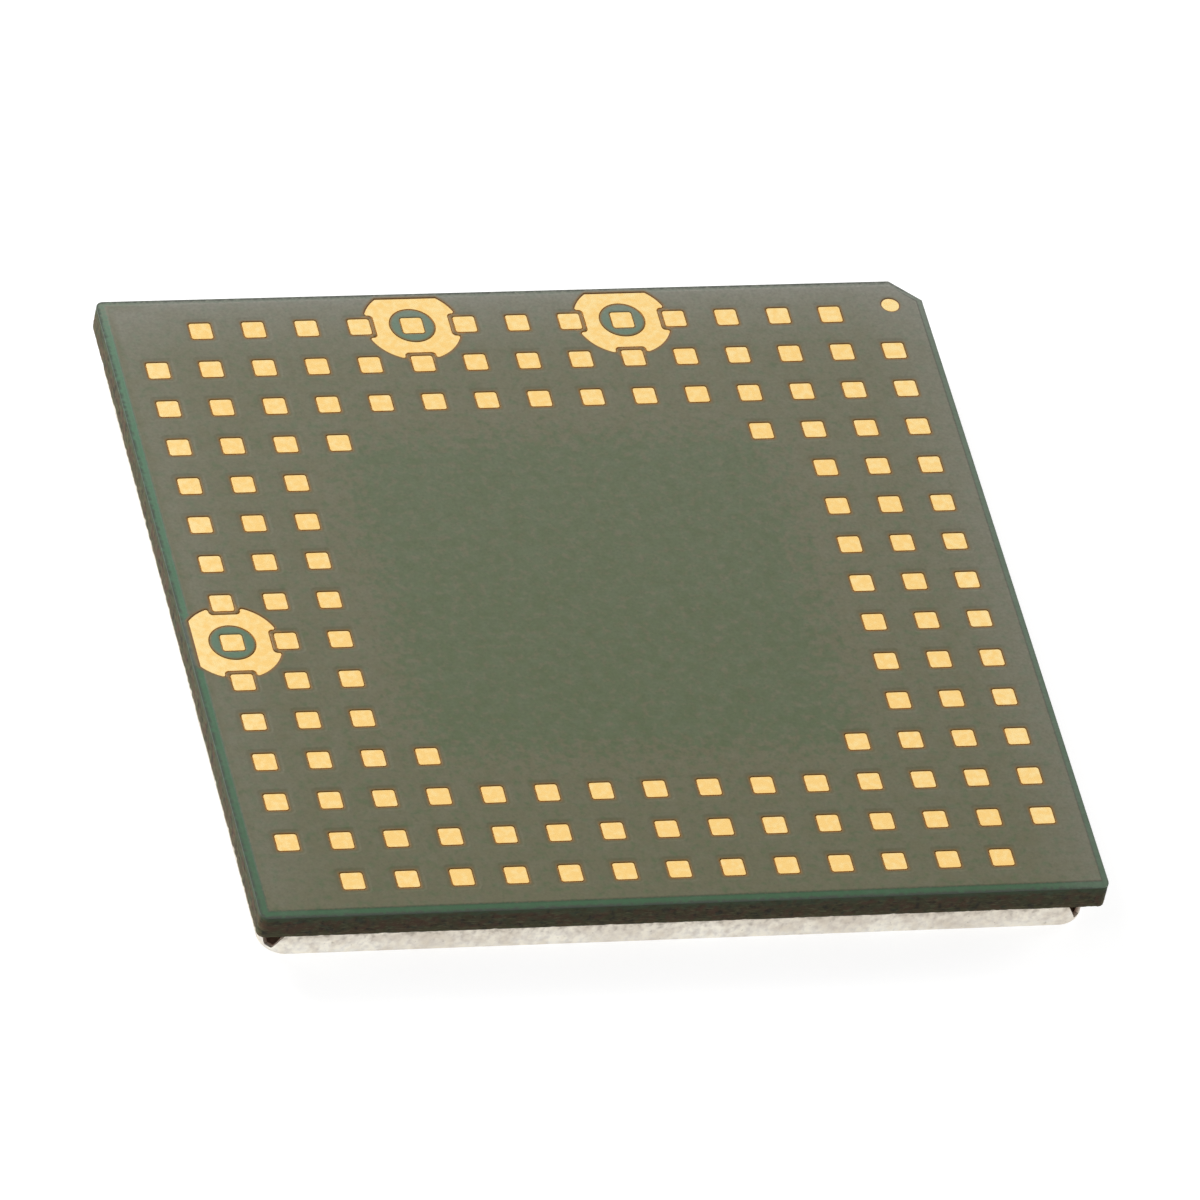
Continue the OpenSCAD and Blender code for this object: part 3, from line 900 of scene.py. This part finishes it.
class Nodes:
    """A node tree, with short calls that add nodes to it."""

    def __init__(self, tree):
        self.tree = tree

    def feed(self, socket, value):
        if isinstance(value, bpy.types.NodeSocket):
            self.tree.links.new(value, socket)
        else:
            socket.default_value = value

    def add(self, kind, inputs, **settings):
        node = self.tree.nodes.new("ShaderNode" + kind)
        for key, value in settings.items():
            setattr(node, key, value)
        for key, value in inputs.items():
            self.feed(node.inputs[key], value)
        return node

    def spread(self, value, low, high, to_low=0.0, to_high=1.0):
        """The value's range from low to high, stretched to another range."""
        inputs = {"Value": value, "From Min": low, "From Max": high,
                  "To Min": to_low, "To Max": to_high}
        return self.add("MapRange", inputs).outputs["Result"]

    def upward(self, vector):
        return self.add("SeparateXYZ", {0: vector}).outputs["Z"]

    def seen_directly(self):
        """1 for rays from the camera, a mirror or glass, and 0 for light on the object."""
        path = self.add("LightPath", {}).outputs
        seen = path["Is Camera Ray"]
        for ray in ("Is Glossy Ray", "Is Transmission Ray"):
            seen = self.add("Math", {0: seen, 1: path[ray]}, operation="MAXIMUM").outputs[0]
        return seen


class Surface(Nodes):
    """A Principled material. The sockets given with its name are the same all over."""

    def __init__(self, name, **sockets):
        self.material = bpy.data.materials.new(name)
        self.material.use_nodes = True
        super().__init__(self.material.node_tree)
        self.shader = self.tree.nodes["Principled BSDF"]
        for socket, value in sockets.items():
            self.shader.inputs[socket.replace("_", " ")].default_value = value

    def vary(self, socket, value):
        self.feed(self.shader.inputs[socket], value)

    def bump(self, height, depth):
        """A rough skin of that depth in millimetres."""
        inputs = {"Height": height, "Distance": depth * MM, "Strength": 1.0}
        self.vary("Normal", self.add("Bump", inputs).outputs["Normal"])

    def place(self):
        return self.add("TexCoord", {}).outputs["Object"]

    def noise(self, size, detail=3, stretch=(1, 1, 1)):
        """Noise with spots of about that size in millimetres, stretched along each axis."""
        scale = tuple(1 / (MM * size * length) for length in stretch)
        place = self.add("VectorMath", {0: self.place(), 1: scale}, operation="MULTIPLY").outputs[0]
        inputs = {"Vector": place, "Scale": 1.0, "Detail": detail}
        return self.add("TexNoise", inputs).outputs["Fac"]

    def attribute(self, name):
        return self.add("Attribute", {}, attribute_name=name).outputs["Fac"]

    def height(self, low, high):
        """0 at one height in millimetres and 1 at the other."""
        return self.spread(self.upward(self.place()), low * MM, high * MM)

    def facing_up(self):
        """0 on walls and 1 on faces that look up."""
        normal = self.add("NewGeometry", {}).outputs["Normal"]
        return self.spread(self.upward(normal), WALL_UP, FACE_UP)

    def noisy(self, texture, low, high):
        """A number that follows a noise texture from low to high."""
        return self.spread(texture, NOISE_LOW, NOISE_HIGH, low, high)

    def sum(self, one, other):
        return self.add("Math", {0: one, 1: other}, operation="ADD").outputs[0]

    def product(self, one, other):
        return self.add("Math", {0: one, 1: other}, operation="MULTIPLY").outputs[0]

    def ruffled(self, value, texture, amount):
        """The value, raised or lowered by up to that amount with a noise texture."""
        return self.sum(value, self.noisy(texture, -amount, amount))

    def mix(self, share, start, end):
        return self.add("Mix", {0: share, 6: start, 7: end}, data_type="RGBA").outputs[2]

    def cover(self, colour, over, value, low, high, most=1.0):
        """The colour, with another over it as the value goes from low to high, up to a share."""
        return self.mix(self.spread(value, low, high, 0, most), colour, over)


def solder_mask():
    surface = Surface("solder_mask", IOR=RESIN_IOR)
    blotches, clouds = surface.noise(size=0.28), surface.noise(size=0.4)
    grain, ragged_patches = surface.noise(size=0.09), surface.noise(size=0.2)
    warmth = surface.ruffled(surface.attribute("warm"), blotches, amount=0.9)
    painted_sheen = surface.ruffled(surface.attribute("painted_sheen"), clouds, amount=0.045)
    margin = surface.ruffled(surface.attribute("green"), grain, amount=0.3)
    edge_dark = surface.product(surface.attribute("edge_dark"), surface.noisy(ragged_patches, low=0.5, high=1.4))
    # The glow attribute holds the paler green inside the antenna ground lands and painted light at
    # the left margin
    green = surface.mix(surface.attribute("glow"), MARGIN_GREEN, PALE_GREEN_AND_PAINTED_LIGHT)
    rust = surface.cover(CLEARANCE_RUST, RESIN, surface.attribute("web"), 0, 1, most=0.5)
    colour = surface.mix(warmth, OLIVE, OLIVE_WARM)
    colour = surface.mix(surface.attribute("brown"), colour, CLEARANCE_BROWN)
    colour = surface.cover(colour, green, margin, 0.2, 0.8)
    # Painted sheen: pale grey laid over the mask, most at the far edge and the sides
    colour = surface.mix(painted_sheen, colour, PAINTED_SHEEN)
    colour = surface.cover(colour, rust, surface.attribute("rust"), 0, 1, most=0.85)
    # Painted shade: a dark line along the step inside the margin
    colour = surface.cover(colour, GRIME_AND_SHADE, surface.attribute("step"), 0, 2, most=0.84)
    # Darker in ragged patches along the board's edge
    colour = surface.cover(colour, MASK_EDGE_DARK, edge_dark, 0.35, 0.85, most=0.85)
    colour = surface.mix(surface.noisy(grain, low=0.05, high=0.29), colour, GRIME_AND_SHADE)
    surface.vary("Base Color", colour)
    surface.vary("Roughness", surface.noisy(grain, low=0.40, high=0.52))
    surface.bump(grain, depth=0.004)
    return surface


def gold_plate():
    surface = Surface("gold_plate", Metallic=1.0)
    grain = surface.noise(size=0.03, detail=2)
    patches = surface.spread(surface.noise(size=0.22), 0.35, 0.65, -0.4, 0.7)
    pale = surface.sum(patches, surface.attribute("pale"))
    surface.vary("Base Color", surface.mix(pale, GOLD, GOLD_PALE))
    surface.vary("Roughness", surface.noisy(grain, low=0.22, high=0.32))
    surface.bump(grain, depth=0.0012)
    return surface


def laminate_edge():
    surface = Surface("laminate_edge", IOR=RESIN_IOR, Specular_IOR_Level=0.3)
    fibres = surface.noise(size=0.05, stretch=(5, 5, 1))
    bundles = surface.noise(size=0.3, stretch=(1, 1, 0.6))
    smear = surface.ruffled(surface.height(FACE_Z - SMEAR_HEIGHT, FACE_Z), bundles, amount=0.5)
    torn = surface.sum(surface.height(LAMINATE_Z + TORN_HEIGHT, LAMINATE_Z),
                       surface.noisy(fibres, low=-0.5, high=0.3))
    resin = surface.cover(LAMINATE_RED, LAMINATE_DARK, surface.noise(size=0.4), 0.4, 0.6)
    resin = surface.cover(resin, LAMINATE_BLACK, surface.noise(size=0.26), 0.52, 0.64, most=0.9)
    streaked = surface.cover(resin, LAMINATE_FIBRE, fibres, 0.45, 0.75)
    colour = surface.cover(resin, streaked, bundles, 0.4, 0.58)
    colour = surface.cover(colour, LAMINATE_GREEN, smear, 0.1, 0.9, most=0.85)
    colour = surface.cover(colour, LAMINATE_FIBRE, torn, 0, 1, most=0.35)
    surface.vary("Base Color", surface.mix(surface.facing_up(), colour, RESIN))
    surface.vary("Roughness", surface.noisy(fibres, low=0.65, high=0.9))
    surface.bump(fibres, depth=0.008)
    return surface


def tinned_sheet():
    surface = Surface("tinned_sheet")
    clouds, specks = surface.noise(size=0.25), surface.noise(size=0.16, detail=2)
    stains, shades = surface.noise(size=0.4, detail=4), surface.noise(size=2.5, detail=2)
    under_board_shadow = surface.ruffled(surface.height(SHADOW_FROM_Z, SHIELD_TOP), clouds, amount=0.4)
    inside = surface.attribute("inside")
    colour = surface.cover(TIN, TIN_GREY, clouds, 0.4, 0.65)
    colour = surface.cover(colour, TIN_STAIN_AND_SHADOW, shades, 0.42, 0.65, most=0.35)
    colour = surface.cover(colour, TIN_STAIN_AND_SHADOW, stains, 0.45, 0.65, most=0.4)
    # Painted shadow under the board: darker towards the top of the walls, in ragged patches
    colour = surface.cover(colour, TIN_STAIN_AND_SHADOW, under_board_shadow, 0.12, 1, most=0.7)
    colour = surface.cover(colour, TIN_SPECK_AND_SHADOW, under_board_shadow, 0.6, 1.2, most=0.9)
    colour = surface.cover(colour, TIN_SPECK_AND_SHADOW, specks, 0.66, 0.8, most=0.8)
    surface.vary("Base Color", surface.mix(inside, colour, FLUX))
    surface.vary("Metallic", surface.spread(inside, 0, 1, 1, 0.1))
    surface.vary("Roughness", surface.noisy(clouds, low=0.34, high=0.5))
    surface.bump(surface.noise(size=0.06), depth=0.003)
    return surface


def solder():
    surface = Surface("solder", Metallic=1.0)
    clouds = surface.noise(size=0.2)
    surface.vary("Base Color", surface.cover(SOLDER_BRIGHT, SOLDER_DULL, clouds, 0.35, 0.65))
    surface.vary("Roughness", surface.noisy(clouds, low=0.22, high=0.38))
    surface.bump(surface.noise(size=0.08, detail=2), depth=0.003)
    return surface


def matte(name, dark, light, size, roughness, depth):
    """A matte body with fine two-coloured grain."""
    surface = Surface(name, IOR=RESIN_IOR)
    grain = surface.noise(size)
    surface.vary("Base Color", surface.cover(dark, light, grain, 0.35, 0.65))
    surface.vary("Roughness", surface.noisy(grain, roughness - MATTE_SPAN, roughness + MATTE_SPAN))
    surface.bump(grain, depth)
    return surface


def dress_hidden_nodes():
    """Finishes of the nodes that keep their CAD shape."""
    finishes = {slot: matte(*finish) for slot, finish in MATTE_BY_SLOT.items()}
    finishes["solder"] = solder()
    for name, node in frame["nodes"].items():
        if not node.hide_render:
            node.material_slots[0].material = finishes[slot_of(name)].material


# Stage

def make_floor():
    half = FLOOR_HALF * MM
    corners = [(-half, -half, 0), (half, -half, 0), (half, half, 0), (-half, half, 0)]
    mesh = bpy.data.meshes.new("floor")
    mesh.from_pydata(corners, [], [(0, 1, 2, 3)])
    floor = bpy.data.objects.new("floor", mesh)
    bpy.context.scene.collection.objects.link(floor)
    surface = Surface("pale_floor", Base_Color=FLOOR_GREY, Roughness=1.0, Specular_IOR_Level=0.0,
                      Emission_Color=WHITE)
    glow = surface.spread(surface.seen_directly(), 0, 1, 0, FLOOR_GLOW)
    surface.vary("Emission Strength", glow)
    mesh.materials.append(surface.material)


def make_world():
    world = bpy.data.worlds.new("studio")
    bpy.context.scene.world = world
    world.use_nodes = True
    nodes = Nodes(world.node_tree)
    upward = nodes.upward(nodes.add("TexCoord", {}).outputs["Generated"])
    backdrop = nodes.spread(upward, BACKDROP_TURN, 1, BACKDROP_GLOW, BACKDROP_TOP_GLOW)
    strength = nodes.spread(nodes.seen_directly(), 0, 1, SURROUNDINGS, backdrop)
    background = world.node_tree.nodes["Background"]
    nodes.feed(background.inputs["Color"], WHITE)
    nodes.feed(background.inputs["Strength"], strength)


def make_lamp(name, place, size, watts, mirrored):
    """A square soft box at a place in millimetres that faces the object."""
    lamp = bpy.data.lights.new(name, "AREA")
    lamp.size = size * MM
    lamp.energy = watts
    holder = bpy.data.objects.new(name, lamp)
    holder.location = Vector(place) * MM
    holder.rotation_euler = (-holder.location).to_track_quat("-Z", "Y").to_euler()
    holder.visible_glossy = mirrored
    bpy.context.scene.collection.objects.link(holder)


def make_camera():
    camera = bpy.data.objects.new("camera", bpy.data.cameras.new("camera"))
    camera.data.lens = CAMERA_LENS
    camera.data.sensor_width = CAMERA_SENSOR
    camera.data.clip_start = CAMERA_NEAR * MM
    turn = (Matrix.Rotation(math.radians(CAMERA_AZIMUTH), 4, "Z")
            @ Matrix.Rotation(math.radians(90 - CAMERA_ELEVATION), 4, "X")
            @ Matrix.Rotation(math.radians(CAMERA_ROLL), 4, "Z"))
    place = (Vector(CAMERA_TARGET) + turn.to_3x3() @ Vector((0, 0, CAMERA_DISTANCE))) * MM
    camera.matrix_world = Matrix.Translation(place) @ turn
    bpy.context.scene.collection.objects.link(camera)
    bpy.context.scene.camera = camera


make_camera()
make_world()
for lamp_name, lamp in LAMPS.items():
    make_lamp(lamp_name, *lamp)
make_floor()
make_pad_face_mask()
make_lands()
make_laminate()
make_part_face_mask()
make_shield_can()
make_solder()
dress_hidden_nodes()
bpy.context.scene.view_settings.view_transform = "Standard"
